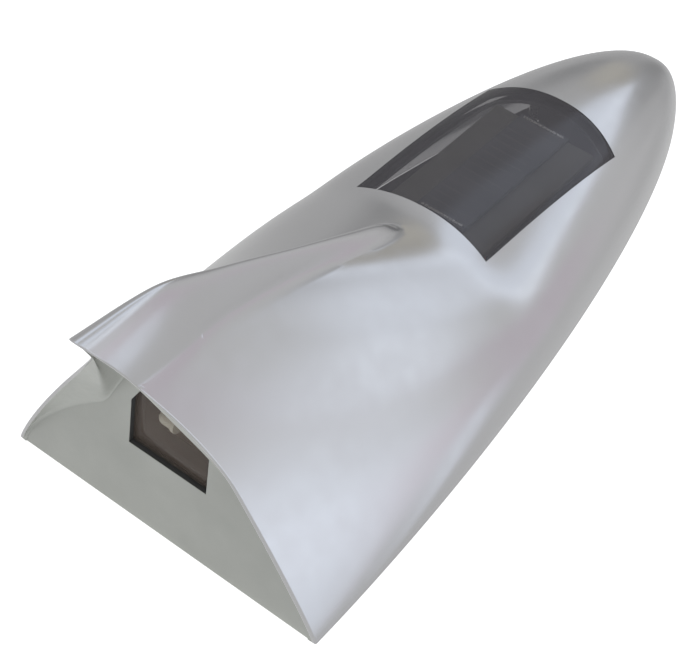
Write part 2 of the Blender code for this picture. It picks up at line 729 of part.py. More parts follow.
# ---- switch ------------------------------------------------------------------------------
def build_switch():
    """Slide switch under the board; its slider is reached from below and moves along Y."""
    y = REAR_Y + SWITCH_STATION
    low = PLATE_TOP + GAP
    high = BOARD_LOW - GAP
    size = (*SWITCH_SIZE, high - low)
    body = part("switch_body", box(size, (0, y, (low + high) / 2)), "tinned_steel")
    slot = (SLIDER_SIZE[0] + SLOT_PLAY, SLIDER_SIZE[1] + SWITCH_TRAVEL + SLOT_PLAY, 0.0026)
    boolean(body, cutter("switch_slot", box(slot, (0, y, low - GAP + slot[2] / 2))))
    knob = part("switch_slider", box(SLIDER_SIZE, (0, 0, 0)), "black_plastic")
    knob.location = (0, y - SWITCH_TRAVEL / 2, PAD_THICK + GAP + SLIDER_SIZE[2] / 2)


# ---- base --------------------------------------------------------------------------------
def base_outline(inset, rear, front=BODY_LENGTH):
    """Plan inside the shell's wall, from a station behind the panel round the nose."""
    clear = WALL + inset
    end = min(BODY_LENGTH - clear - 0.0006, front)
    half = []
    for i in range(17):
        share = 1 - (1 - i / 16) ** 2
        station = rear + (end - rear) * share
        half.append((max(half_width(station) - clear, 0.0), REAR_Y + station))
    port = [(-x, y) for x, y in reversed(half) if x > 0.0005]
    return half + port


def build_base():
    outline = base_outline(PLATE_EDGE, PANEL_THICK + PLATE_START)
    plate = part("base_plate", prism(outline, PLATE_LOW, PLATE_TOP), "black_plastic")
    slot = (SLIDER_SIZE[0] + 0.0010, SLIDER_SIZE[1] + SWITCH_TRAVEL + 0.0010, 3 * PLATE_THICK)
    boolean(plate, cutter("plate_slot", box(slot, (0, REAR_Y + SWITCH_STATION, PLATE_LOW))))
    root = 0.0005                # each standoff starts this far inside the plate
    for i, (x, station) in enumerate(BOARD_SCREWS, 1):
        y = REAR_Y + station
        post_z = PLATE_TOP + (STANDOFF - GAP - root) / 2
        post = rod(STANDOFF_RADIUS, STANDOFF - GAP + root, (x, y, post_z), sides=16)
        boolean(plate, cutter(f"standoff_{i}", post), "UNION")
        hole = rod(0.0011, 0.0046, (x, y, BOARD_LOW - 0.0020), sides=12)
        boolean(plate, cutter(f"standoff_hole_{i}", hole))
    for i, (x, station) in enumerate(SCREW_PLACES, 1):
        y = REAR_Y + station
        sink = rod(0.0025, 0.0018, (x, y, PLATE_LOW + 0.0007), "Z", 16, 0.0013)
        boolean(plate, cutter(f"screw_sink_{i}", sink))
        hole = rod(0.0013, 0.0060, (x, y, PLATE_TOP), sides=16)
        boolean(plate, cutter(f"screw_hole_{i}", hole))


def build_base_seal():
    """A soft cord all round the plate's edge."""
    outside = base_outline(CORD_EDGES[0], PANEL_THICK + CORD_STARTS[0])
    inside = base_outline(CORD_EDGES[1], PANEL_THICK + CORD_STARTS[1])
    low = PLATE_LOW + CORD_LEVELS[0]
    high = PLATE_LOW + CORD_LEVELS[1]
    seal = part("base_seal", prism(outside, low, high), "seal_black")
    boolean(seal, cutter("base_seal_cutter", prism(inside, -high, 3 * high)))


def build_pad():
    pad = part("adhesive_pad", prism(base_outline(PAD_EDGE, *PAD_ENDS), 0.0, PAD_THICK), "foam_grey")
    boolean(pad, cutter("pad_hole", box(PAD_HOLE, (0, REAR_Y + SWITCH_STATION, 0))))


def screw(name, centre, size, tip_down=False):
    """Countersunk screw standing on its head, or hanging from it."""
    radius, head_radius, head, length = size
    thing = part(name, rod(head_radius, head, (0, 0, head / 2), "Z", 16, radius), "tinned_steel")
    shank_z = head + (length - SCREW_OVERLAP) / 2
    shank = cutter(name + "_shank", rod(radius, length + SCREW_OVERLAP, (0, 0, shank_z), "Z", 16))
    for piece in (thing, shank):
        piece.location = centre
        if tip_down:
            piece.rotation_euler = (math.pi, 0, 0)
    boolean(thing, shank, "UNION")


def build_screws():
    for i, (x, station) in enumerate(SCREW_PLACES, 1):
        screw(f"base_screw_{i}", (x, REAR_Y + station, PLATE_LOW + 0.0001), BASE_SCREW)
    head_top = BOARD_TOP + GAP + BOARD_SCREW[2]
    for i, (x, station) in enumerate(BOARD_SCREWS, 1):
        screw(f"board_screw_{i}", (x, REAR_Y + station, head_top), BOARD_SCREW, tip_down=True)


clear_scene()
CREASE = crease_line()
PARTS = new_collection("navigation_light")
CUTTERS = new_collection("cutters")
build_top_shell()
build_solar_parts()
build_rear_parts()
build_lamp()
build_board_parts()
build_battery()
build_wires()
build_switch()
build_base()
build_base_seal()
build_pad()
build_screws()
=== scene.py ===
"""The look of the shark-fin navigation light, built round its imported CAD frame.

Metres throughout. +Z up, +Y from the stern (lens side) to the nose, +X to starboard.
"Station" means the distance forward of the shell's lower rear edge.
"""

import math

import bmesh
import bpy
import numpy as np
from mathutils import Matrix, Vector


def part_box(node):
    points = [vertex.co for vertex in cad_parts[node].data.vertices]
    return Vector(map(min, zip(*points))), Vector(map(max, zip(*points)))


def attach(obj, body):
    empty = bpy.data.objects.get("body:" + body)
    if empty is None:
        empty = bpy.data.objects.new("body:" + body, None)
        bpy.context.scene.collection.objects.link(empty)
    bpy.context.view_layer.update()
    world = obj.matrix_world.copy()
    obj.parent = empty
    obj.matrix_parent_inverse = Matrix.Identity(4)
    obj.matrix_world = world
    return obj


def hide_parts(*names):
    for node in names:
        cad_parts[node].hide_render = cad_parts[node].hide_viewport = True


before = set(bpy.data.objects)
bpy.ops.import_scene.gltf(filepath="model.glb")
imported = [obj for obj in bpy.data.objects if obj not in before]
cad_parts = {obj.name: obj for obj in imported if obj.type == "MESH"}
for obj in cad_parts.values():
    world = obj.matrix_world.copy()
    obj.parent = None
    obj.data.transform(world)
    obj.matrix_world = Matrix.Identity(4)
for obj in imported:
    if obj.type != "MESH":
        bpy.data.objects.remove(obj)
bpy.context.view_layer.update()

# ---- driving dimensions ------------------------------------------------------------------
# They are the CAD's, but for ROUNDNESS, a little lower towards the rear, and the lens, which is
# thinner and sits deeper in its panel.
HALF_WIDTH = 0.0365
BODY_LENGTH = 0.1617
BEAK_OVERHANG = 0.0139
BEAK_START = 0.030
BEAK_SWEEP = 1.6
NOSE_TAPER = 1.71
NOSE_ROUND = 0.53
RIDGE_REAR = 0.0555
RIDGE_FRONT = 0.0235
LEVEL_STATION = 0.074
LEVEL_EASE = 0.06
CREST_TAPER = 1.93
CREST_ROUND = 0.43
WALL = 0.0020
RIM = 0.0009
THINNEST_WALL = 0.0007
FOOT = 0.0004
FIN_CORE = 0.0016            # the fin is solid where its core would be narrower than this
CREST_WALL = 1.5             # the wall under the fin's crest is this many times the other walls
GAP = 0.0003
FIT = 0.00015
REAR_Y = BEAK_OVERHANG - (BODY_LENGTH + BEAK_OVERHANG) / 2

ROUNDNESS = [(-0.02, 1.06), (0.0, 1.11), (0.02, 1.235), (0.04, 1.45), (0.06, 1.86), (0.08, 2.36),
             (0.10, 2.45), (0.17, 2.45)]
FIN_CREST = [(-0.0139, 0.0660), (0.004, 0.0632), (0.020, 0.0551), (0.040, 0.0438), (0.056, 0.0350),
             (0.0630, 0.0310), (0.0675, 0.0260), (0.074, 0.0050), (0.17, 0.0005)]
FIN_WIDTH = [(-0.0139, 0.0102), (0.0, 0.0080), (0.020, 0.0045), (0.040, 0.0035), (0.060, 0.0045),
             (0.080, 0.0030), (0.17, 0.0005)]
FIN_FILLET = [(-0.0139, 0.0008), (0.020, 0.0012), (0.040, 0.0030), (0.060, 0.0034), (0.17, 0.0030)]
FIN_POWER = 2.0              # the fin's sections are half ellipses
FIN_FRONT = 0.065
FAN_STATIONS = (0.090, 0.120)
NOSE_FAN = math.radians(66)
ROUNDNESS_BLUR = 0.0080      # each curve along the body is softened over this length
CREST_BLUR = 0.0012
WIDTH_BLUR = 0.0030
FILLET_BLUR = 0.0040
CREASE_BLUR = 0.0030

PANEL_LEAN = math.radians(9.9)
PANEL_THICK = 0.0018
FLANGE = 0.0012
PANEL_SIDE = (0.0354, 0.0310, 1.4)
PANEL_TOP = (0.0269, 0.0555, 1.0)
PANEL_KINK = (0.0154, 0.0237)
PANEL_FILLET = 0.0012
PANEL_GAP = 0.0001
PANEL_LOWEST = 0.00015
PANEL_EDGE = 0.00012

WINDOW_HALF = 0.0158
WINDOW_REAR = 0.0752
WINDOW_FRONT = 0.1190
REAR_BOW = 0.0022
FRONT_BOW = 0.0038
WINDOW_THICK = 0.0015
WINDOW_CUT = (0.009, 0.050)
WINDOW_GAP = 0.00008
WINDOW_EDGE = 0.00018

LENS_HALF = 0.0092
LENS_LOW = 0.0173
LENS_EAVES = 0.0275
LENS_PEAK_HALF = 0.0042
LENS_PEAK = 0.0360
LENS_THICK = 0.0008
LENS_SINK = 0.0010
LENS_GAP = 0.00006
LENS_EDGE = 0.0001
LENS_WALL_FACING = 0.3       # faces that look less than this along the panel's depth are walls
PEAK_INSET = 0.6             # how far the peak's half-width follows an inset of the outline
BEZEL_OUTSIDE = 0.0018
BEZEL_INSIDE = 0.0008
BEZEL_THICK = 0.0010
BEZEL_EDGE = 0.00015

CELL_SIZE = (0.0118, 0.0355, 0.0010)
CELL_STATION = 0.0992
CELL_HEIGHT = 0.0180
CELL_TILT = math.radians(-2.5)
CELL_EDGE = 0.00012
TRAY_SIZE = (0.0245, 0.0380, 0.0012)
TRAY_SHIFT = 0.0012
TRAY_EDGE = 0.0002
BUSBAR_SIZE = (0.0100, 0.0006, 0.00012)
BUSBAR_EDGE = 0.00004
BUSBAR_INSET = 0.0007
BUSBAR_LIFT = 0.00005

LAMP_POINT = (-0.0044, 0.0084, 0.0228)
LAMP_RADIUS = 0.0015
LAMP_LENGTH = 0.0036
BRIM = 0.0003                # the lamp's brim stands out by this much
BRIM_THICK = 0.0008
BRIM_EDGE = 0.00008
CUP_DEPTH = 0.0016           # the reflector cup sits this far behind the dome's tip
CUP = [(0.0, 0.0), (0.0, 0.0003), (-0.0003, 0.00055), (0.0, 0.00062), (0.0009, 0.00045), (0.0024, 0.0003),
       (0.0024, 0.0)]

PAD_INSET = 0.0070
PAD_HOLE = (0.0070, 0.0100)
PAD_EDGE = 0.00025
SWITCH_STATION = 0.040

# ---- mesh fineness -----------------------------------------------------------------------
FLANK_COLUMNS = 64
FIN_COLUMNS = 26
OUTER_ROWS = 260
INNER_ROWS = 70
WALL_ROWS = 12
LIP_STEPS = 4
RIM_STEPS = 3
COVE_STEPS = 6
CREASE_STATIONS = 40
CREASE_SEARCH = (math.radians(50.0), math.radians(89.0))
HALVINGS = 30
SETTLE_ROUNDS = 24
WINDOW_STEPS = 48
PANE_STEPS = (48, 64)
EDGE_SHARES = (0.0, 0.12, 0.35, 0.65, 1.0)
PAD_STEPS = 40
DOME_STEPS = 12
DOME_SIDES = 40
CUP_SIDES = 24
LIP = 0.00045                # the rear rim is rounded over this width
COVE = 0.0007                # the recess wall runs out onto the panel over this width
LIP_GAP = 0.00003            # and then folds back this far clear of it
LIP_TURN = (0.45, 0.70)      # shares of the rim's width left flat between its two rounded edges
WALL_SPAN = (0.04, 0.82)     # shares of the recess wall left straight between its roundings
PAINT_EDGE = 0.0007          # the paint ends this far inside the rear rim
PROFILE_STEP = 0.00025
PROFILE_RANGE = (-0.035, 0.190)
CUTTER_REACH = 0.006

# ---- camera ------------------------------------------------------------------------------
CAMERA_AT = (0.16571, -0.22297, 0.30796)
CAMERA_AIM = (-0.00344, -0.01729, 0.00653)
CAMERA_LENS = 108.09
SENSOR = 36.0

# ---- floor, and the tints of the studio's light ------------------------------------------
FLOOR_REACH = 3.0
FLOOR_LEVEL = -0.0001        # just clear of the pad's underside
NEUTRAL = (1.0, 1.0, 1.0)
COOL = (0.94, 1.0, 1.11)
WARM = (1.05, 1.0, 0.87)
MAUVE = (1.05, 0.95, 1.04)


# ---- shape functions ---------------------------------------------------------------------
def monotone(points, at):
    """Monotone cubic curve through (station, value) pairs, straight beyond its ends."""
    xs = np.array([s for s, _ in points])
    vs = np.array([v for _, v in points])
    step = np.diff(xs)
    slope = np.diff(vs) / step
    tangent = np.zeros(len(xs))
    tangent[0], tangent[-1] = slope[0], slope[-1]
    for i in range(1, len(xs) - 1):
        if slope[i - 1] * slope[i] > 0:
            w1 = 2 * step[i] + step[i - 1]
            w2 = step[i] + 2 * step[i - 1]
            tangent[i] = (w1 + w2) / (w1 / slope[i - 1] + w2 / slope[i])
    at = np.asarray(at, float)
    inside = np.clip(at, xs[0], xs[-1])
    i = np.clip(np.searchsorted(xs, inside, side="right") - 1, 0, len(step) - 1)
    t = (inside - xs[i]) / step[i]
    value = ((1 + 2 * t) * (1 - t) ** 2 * vs[i] + t * (1 - t) ** 2 * step[i] * tangent[i]
             + t * t * (3 - 2 * t) * vs[i + 1] + t * t * (t - 1) * step[i] * tangent[i + 1])
    beyond = at - inside
    return value + np.where(beyond < 0, tangent[0], tangent[-1]) * beyond


def profile(points, blur):
    """A softly blurred copy of the monotone curve, so that reflections run over it without kinks."""
    grid = np.arange(*PROFILE_RANGE, PROFILE_STEP)
    raw = monotone(points, grid)
    reach = int(4 * blur / PROFILE_STEP)
    offsets = np.arange(-reach, reach + 1) * PROFILE_STEP
    kernel = np.exp(-0.5 * (offsets / blur) ** 2)
    padded = np.concatenate([np.full(reach, raw[0]), raw, np.full(reach, raw[-1])])
    soft = np.convolve(padded, kernel / kernel.sum(), "valid")
    return lambda station: np.interp(station, grid, soft)


roundness = profile(ROUNDNESS, ROUNDNESS_BLUR)
fin_crest = profile(FIN_CREST, CREST_BLUR)
fin_width = profile(FIN_WIDTH, WIDTH_BLUR)
fin_fillet = profile(FIN_FILLET, FILLET_BLUR)


def half_width(station):
    share = np.clip(np.asarray(station) / BODY_LENGTH, 0.0, 1.0)
    return HALF_WIDTH * (1 - share ** NOSE_TAPER) ** NOSE_ROUND


def ridge_height(station):
    station = np.asarray(station)
    share = np.clip((station - LEVEL_STATION) / (BODY_LENGTH - LEVEL_STATION), 0.0, 1.0)
    front = RIDGE_FRONT * (1 - share ** CREST_TAPER) ** CREST_ROUND
    fall = 1 - station / LEVEL_STATION
    return front + (RIDGE_REAR - RIDGE_FRONT) * (fall + np.hypot(fall, LEVEL_EASE)) / 2


def superellipse(width, height, power, angle):
    """Distance from the axis to the curve, at an angle up from starboard."""
    across = np.abs(np.cos(angle)) / np.maximum(width, 1e-6)
    up = np.abs(np.sin(angle)) / np.maximum(height, 1e-6)
    return (across ** power + up ** power) ** (-1 / power)


def soft_max(a, b, blend):
    near = np.clip(blend - np.abs(a - b), 0, None) / blend
    return np.maximum(a, b) + near * near * blend / 4


def section_radius(station, angle, inset=0.0):
    """Distance from the axis to the shell's surface; inset moves it inward."""
    half, ridge = half_width(station) - inset, ridge_height(station) - inset
    body = superellipse(half, ridge, roundness(station), angle)
    width = fin_width(station) - inset
    fin = superellipse(width, fin_crest(station) - CREST_WALL * inset, FIN_POWER, angle)
    fin = np.where(width < FIN_CORE, 0.0, fin)
    return soft_max(body, fin, fin_fillet(station))


def section_points(station, angle, inset=0.0):
    radius = section_radius(station, angle, inset)
    return np.stack([radius * np.cos(angle), REAR_Y + station, FOOT + radius * np.sin(angle)], -1)


def edge_station(height):
    """Station of the rear edge at a height: upright at first, then swept back to the beak."""
    share = np.clip((height - BEAK_START) / (FIN_CREST[0][1] - BEAK_START), 0.0, 1.0)
    return -BEAK_OVERHANG * share ** BEAK_SWEEP


def lean(height):
    return height * math.tan(PANEL_LEAN)


def crease_angles():
    """Angle at which the fin rises out of the flank, then a fan of the same loft lines to the nose."""
    stations = np.linspace(-BEAK_OVERHANG, FIN_FRONT, CREASE_STATIONS)
    low = np.full(CREASE_STATIONS, CREASE_SEARCH[0])
    high = np.full(CREASE_STATIONS, CREASE_SEARCH[1])
    for _ in range(HALVINGS):
        middle = (low + high) / 2
        fin = superellipse(fin_width(stations), fin_crest(stations), FIN_POWER, middle)
        body = superellipse(half_width(stations), ridge_height(stations), roundness(stations), middle)
        low = np.where(fin < body, middle, low)
        high = np.where(fin < body, high, middle)
    line = list(zip(stations, low))
    halfway = (low[-1] + NOSE_FAN) / 2
    ahead = [(FAN_STATIONS[0], halfway), (FAN_STATIONS[1], NOSE_FAN), (BODY_LENGTH, NOSE_FAN)]
    return profile(line + ahead, CREASE_BLUR)


crease = crease_angles()


def half_columns():
    """Loft lines from 0 at the foot, through 1 at the crease, to 2 at the top."""
    flank = [i / FLANK_COLUMNS for i in range(FLANK_COLUMNS)]
    fin = [1 + math.sin(math.pi / 2 * i / FIN_COLUMNS) for i in range(FIN_COLUMNS + 1)]
    return np.array(flank + fin)


def column_angle(column, fold):
    return np.where(column <= 1, fold * column, fold + (math.pi / 2 - fold) * (column - 1))


def settle(column, inset, station_of_height):
    """Station where each loft line meets a rear boundary that is a function of height."""
    station = np.zeros_like(column)
    for _ in range(SETTLE_ROUNDS):
        angle = column_angle(column, crease(station))
        height = section_radius(station, angle, inset) * np.sin(angle)
        station = 0.5 * station + 0.5 * station_of_height(height)
    return station


def surface_height(x, station, depth=0.0):
    """Height of the shell's back over a point of the plan, without the fin."""
    power = roundness(station)
    share = np.clip(np.abs(x) / np.maximum(half_width(station) - depth, 1e-6), 0.0, 1.0)
    return FOOT + (ridge_height(station) - depth) * (1 - share ** power) ** (1 / power)


def panel_outline(column, inset=0.0):
    """Points (x, height) round the rear panel's right half, in step with the loft lines."""
    fold = math.atan2(PANEL_KINK[1], PANEL_KINK[0])
    angle = column_angle(column, fold)
    side, top = superellipse(*PANEL_SIDE, angle), superellipse(*PANEL_TOP, angle)
    radius = soft_max(side, top, PANEL_FILLET) - inset
    return radius * np.cos(angle), radius * np.sin(angle)


def panel_points(x, height, forward):
    return np.stack([x, REAR_Y + lean(height) + forward, FOOT + height], -1)


# ---- mesh helpers ------------------------------------------------------------------------
def mirrored(rows):
    """Rows of the starboard half, continued over the top to the port foot."""
    port = rows[:, -2::-1].copy()
    port[..., 0] *= -1
    return np.concatenate([rows, port], 1)


def bezier(a, b, c, steps):
    """Points strictly between a and c, rounded towards b."""
    ts = np.arange(1, steps + 1) / (steps + 1)
    return np.stack([(1 - t) ** 2 * a + 2 * t * (1 - t) * b + t * t * c for t in ts])


def straight(a, b, steps):
    """Points from a towards b, without b."""
    return np.stack([a + (b - a) * i / steps for i in range(steps)])


def make_object(name, vertices, faces, sharp=35.0):
    mesh = bpy.data.meshes.new(name)
    mesh.from_pydata([tuple(v) for v in vertices], [], faces)
    bm = bmesh.new()
    bm.from_mesh(mesh)
    bmesh.ops.remove_doubles(bm, verts=bm.verts, dist=1e-7)
    bmesh.ops.recalc_face_normals(bm, faces=bm.faces)
    bm.to_mesh(mesh)
    bm.free()
    mesh.shade_smooth()
    mesh.set_sharp_from_angle(angle=math.radians(sharp))
    thing = bpy.data.objects.new(name, mesh)
    bpy.context.scene.collection.objects.link(thing)
    return thing


def grid_faces(rows, columns, first=0):
    faces = []
    for i in range(rows - 1):
        for j in range(columns - 1):
            a = first + i * columns + j
            faces.append((a, a + 1, a + columns + 1, a + columns))
    return faces


def apply_modifiers(thing, sharp=35.0):
    graph = bpy.context.evaluated_depsgraph_get()
    made = bpy.data.meshes.new_from_object(thing.evaluated_get(graph))
    thing.modifiers.clear()
    thing.data = made
    made.shade_smooth()
    made.set_sharp_from_angle(angle=math.radians(sharp))


def cut(thing, cutter):
    step = thing.modifiers.new("cut", "BOOLEAN")
    step.operation = "DIFFERENCE"
    step.solver = "EXACT"
    step.object = cutter
    apply_modifiers(thing)
    bpy.data.objects.remove(cutter, do_unlink=True)


def rounded(thing, width, segments=3, angle=30.0):
    """Round every edge sharper than the angle."""
    step = thing.modifiers.new("round", "BEVEL")
    step.width = width
    step.segments = segments
    step.limit_method = "ANGLE"
    step.angle_limit = math.radians(angle)
    step.harden_normals = False
    apply_modifiers(thing, 40.0)


def plate(name, outline, low, high, place):
    """A closed plate over an outline; place(x, y, level) gives each point."""
    count = len(outline)
    points = [place(x, y, low) for x, y in outline] + [place(x, y, high) for x, y in outline]
    faces = [tuple(reversed(range(count))), tuple(range(count, 2 * count))]
    faces += [(i, (i + 1) % count, (i + 1) % count + count, i + count) for i in range(count)]
    return make_object(name, points, faces)


def upright(x, y, level):
    return (x, y, level)


def leaning(x, height, forward):
    return tuple(panel_points(x, height, forward))


def finish_piece(thing, body, slot, look, *nodes):
    thing.data.materials.clear()
    thing.data.materials.append(look)
    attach(thing, body)
    if nodes:
        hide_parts(*nodes)
    return thing


# ---- material helpers --------------------------------------------------------------------
class Look:
    """A node material round one Principled shader, with short calls for the nodes it needs."""

    def __init__(self, name, colour, roughness, metallic=0.0, **constants):
        self.material = bpy.data.materials.new(name)
        self.material.use_nodes = True
        self.tree = self.material.node_tree
        self.shader = self.tree.nodes["Principled BSDF"]
        self.set("Base Color", (*colour, 1.0))
        self.set("Roughness", roughness)
        self.set("Metallic", metallic)
        for socket, value in constants.items():
            self.set(socket.replace("_", " "), value)
        self.colour = colour
        self.roughness = roughness
        self.coords = self.node("ShaderNodeTexCoord").outputs["Object"]
        self.bump_normal = None

    def set(self, socket, value):
        self.shader.inputs[socket].default_value = value

    def node(self, kind, **settings):
        made = self.tree.nodes.new(kind)
        for key, value in settings.items():
            setattr(made, key, value)
        return made

    def link(self, source, target):
        self.tree.links.new(source, target)

    def stretched(self, scale):
        mapping = self.node("ShaderNodeMapping")
        self.link(self.coords, mapping.inputs["Vector"])
        mapping.inputs["Scale"].default_value = scale
        return mapping.outputs["Vector"]

    def noise(self, scale, detail=3.0, stretch=None):
        made = self.node("ShaderNodeTexNoise")
        made.inputs["Scale"].default_value = scale
        made.inputs["Detail"].default_value = detail
        self.link(self.stretched(stretch) if stretch else self.coords, made.inputs["Vector"])
        return made.outputs["Fac"]

    def cells(self, scale, feature="F1", output="Distance"):
        made = self.node("ShaderNodeTexVoronoi", feature=feature)
        made.inputs["Scale"].default_value = scale
        self.link(self.coords, made.inputs["Vector"])
        return made.outputs[output]

    def ramp(self, source, low, high, low_at=0.3, high_at=0.7):
        """Maps a grey value onto two colours or two numbers."""
        made = self.node("ShaderNodeMapRange")
        made.inputs["From Min"].default_value = low_at
        made.inputs["From Max"].default_value = high_at
        self.link(source, made.inputs["Value"])
        if not isinstance(low, tuple):
            made.inputs["To Min"].default_value = low
            made.inputs["To Max"].default_value = high
            return made.outputs["Result"]
        mix = self.node("ShaderNodeMix", data_type="RGBA")
        self.link(made.outputs["Result"], mix.inputs["Factor"])
        mix.inputs[6].default_value = (*low, 1.0)
        mix.inputs[7].default_value = (*high, 1.0)
        return mix.outputs[2]

    def mix(self, factor, first, second):
        """Colour mix of two sockets or plain colours."""
        made = self.node("ShaderNodeMix", data_type="RGBA")
        targets = (made.inputs["Factor"], made.inputs[6], made.inputs[7])
        for source, target in zip((factor, first, second), targets):
            if isinstance(source, tuple):
                target.default_value = (*source, 1.0)
            elif isinstance(source, float):
                target.default_value = source
            else:
                self.link(source, target)
        return made.outputs[2]

    def vary(self, source, spread):
        """Base colour a share darker to a share lighter."""
        dark = tuple(c * (1 - spread) for c in self.colour)
        light = tuple(min(c * (1 + spread), 1.0) for c in self.colour)
        self.link(self.ramp(source, dark, light), self.shader.inputs["Base Color"])

    def wear(self, source, spread):
        """Roughness a little lower to a little higher."""
        out = self.ramp(source, max(self.roughness - spread, 0.0), self.roughness + spread)
        self.link(out, self.shader.inputs["Roughness"])

    def bump(self, source, depth, strength=1.0):
        made = self.node("ShaderNodeBump")
        made.inputs["Strength"].default_value = strength
        made.inputs["Distance"].default_value = depth
        self.link(source, made.inputs["Height"])
        if self.bump_normal is not None:
            self.link(self.bump_normal, made.inputs["Normal"])
        self.bump_normal = made.outputs["Normal"]
        self.link(self.bump_normal, self.shader.inputs["Normal"])


def moulded(name, colour, roughness, grain=4000.0, depth=0.00001, spread=0.06):
    """Moulded plastic with a fine grain and slight unevenness."""
    look = Look(name, colour, roughness)
    look.vary(look.noise(160.0), spread)
    look.wear(look.noise(600.0), 0.06)
    look.bump(look.noise(grain, 2.0), depth, 0.6)
    return look.material


# ---- materials ---------------------------------------------------------------------------
def silver_paint():
    """Satin silver paint: fine flakes under a smooth clear coat."""
    look = Look("silver_paint", (0.60, 0.60, 0.61), 0.21, 0.92,
                Coat_Weight=0.55, Coat_Roughness=0.06, Coat_IOR=1.45)
    flakes = look.cells(9000.0, output="Color")
    grey = look.node("ShaderNodeRGBToBW")
    look.link(flakes, grey.inputs["Color"])
    cloud = look.noise(35.0, 2.0)
    glint = look.ramp(grey.outputs["Val"], (0.585, 0.585, 0.595), (0.63, 0.63, 0.64), 0.1, 0.9)
    tone = look.ramp(cloud, (0.590, 0.588, 0.592), (0.615, 0.617, 0.625))
    look.link(look.mix(0.5, glint, tone), look.shader.inputs["Base Color"])
    look.wear(look.noise(220.0, 2.0), 0.02)
    look.bump(look.noise(5200.0, 2.0), 0.000002, 0.35)
    return look.material


def panel_grey():
    look = Look("panel_grey", (0.37, 0.38, 0.355), 0.46, 0.0, Specular_IOR_Level=0.45)
    look.vary(look.noise(90.0, 4.0), 0.05)
    look.wear(look.noise(900.0), 0.05)
    look.bump(look.noise(3500.0, 2.0), 0.000008, 0.5)
    return look.material


def smoked(name, colour, alpha):
    """Smoked acrylic: dark, polished and partly see-through."""
    look = Look(name, colour, 0.04, 0.0, Alpha=alpha, IOR=1.49, Coat_Weight=0.6, Coat_Roughness=0.02)
    look.vary(look.noise(120.0), 0.10)
    look.wear(look.noise(300.0), 0.015)
    look.material.surface_render_method = "BLENDED"
    return look.material


def solar_cell():
    """Dark blue-grey silicon with fine silver fingers across it."""
    look = Look("solar_cell", (0.108, 0.124, 0.145), 0.22, 0.0, Coat_Weight=0.5, Coat_Roughness=0.08)
    split = look.node("ShaderNodeSeparateXYZ")
    look.link(look.coords, split.inputs["Vector"])
    wave = look.node("ShaderNodeMath", operation="PINGPONG")
    look.link(split.outputs["Y"], wave.inputs[0])
    wave.inputs[1].default_value = 0.0011
    line = look.ramp(wave.outputs["Value"], 1.0, 0.0, 0.00004, 0.00009)
    crystal = look.ramp(look.noise(240.0, 2.0), (0.100, 0.116, 0.136), (0.116, 0.132, 0.154))
    look.link(look.mix(line, crystal, (0.19, 0.20, 0.22)), look.shader.inputs["Base Color"])
    look.wear(look.noise(700.0), 0.04)
    return look.material


def metal(name, colour, roughness):
    look = Look(name, colour, roughness, 1.0)
    look.vary(look.noise(300.0), 0.06)
    look.wear(look.noise(2500.0, 2.0, (1.0, 1.0, 6.0)), 0.08)
    look.bump(look.noise(6000.0, 2.0, (1.0, 1.0, 5.0)), 0.000003, 0.5)
    return look.material


def clear_lamp():
    # a clear dome made nearly opaque and pale cream: its bright glint is painted into its colour as a
    # painted highlight
    look = Look("clear_lamp", (1.0, 0.96, 0.80), 0.05, 0.0, Alpha=0.80, IOR=1.5, Coat_Weight=0.5,
                Coat_Roughness=0.03)
    look.vary(look.noise(900.0), 0.05)
    look.wear(look.noise(700.0), 0.02)
    look.material.surface_render_method = "BLENDED"
    return look.material


def board(name, colour, track):
    """Circuit board: solder mask over faint copper tracks."""
    look = Look(name, colour, 0.42, 0.0, Coat_Weight=0.2)
    tracks = look.ramp(look.cells(260.0, "DISTANCE_TO_EDGE"), 1.0, 0.0, 0.03, 0.06)
    mask = look.ramp(look.noise(300.0), colour, tuple(c * 1.15 for c in colour))
    look.link(look.mix(tracks, mask, track), look.shader.inputs["Base Color"])
    look.bump(tracks, 0.00003, 0.5)
    look.wear(look.noise(500.0), 0.06)
    return look.material


def foam():
    look = Look("foam", (0.16, 0.16, 0.17), 0.88)
    look.vary(look.noise(1400.0), 0.16)
    look.bump(look.cells(2600.0), 0.00006, 0.8)
    return look.material


LOOKS = {
    "silver_paint": silver_paint(),
    "panel_grey": panel_grey(),
    "window": smoked("smoked_window", (0.105, 0.098, 0.110), 0.44),
    "lens": smoked("smoked_lens", (0.170, 0.135, 0.112), 0.24),
    "solar_cell": solar_cell(),
    "tray": moulded("tray", (0.215, 0.210, 0.165), 0.5, grain=1500.0, depth=0.000004),
    "steel": metal("tinned_steel", (0.74, 0.72, 0.68), 0.28),
    "clear_lamp": clear_lamp(),
    "board_green": board("board_green", (0.03, 0.16, 0.07), (0.05, 0.25, 0.10)),
    "board_brown": moulded("board_brown", (0.54, 0.42, 0.31), 0.6, grain=900.0, depth=0.000004, spread=0.10),
    "black_plastic": moulded("black_plastic", (0.030, 0.030, 0.031), 0.45),
    # near-black painted shade for the walls of the lens opening, which are part of the grey panel
    "lens_wall_painted_shade": moulded("lens_wall_painted_shade", (0.050, 0.052, 0.053), 0.50),
    "white_plastic": moulded("white_plastic", (0.80, 0.80, 0.78), 0.45),
    "green_wrap": moulded("green_wrap", (0.05, 0.30, 0.14), 0.32),
    "red_wire": moulded("red_wire", (0.55, 0.03, 0.03), 0.38),
    "black_wire": moulded("black_wire", (0.03, 0.03, 0.03), 0.38),
    "resistor": moulded("resistor_body", (0.55, 0.42, 0.26), 0.40),
    "seal": moulded("seal", (0.030, 0.030, 0.030), 0.75, grain=2200.0, depth=0.00002),
    "foam": foam(),
}


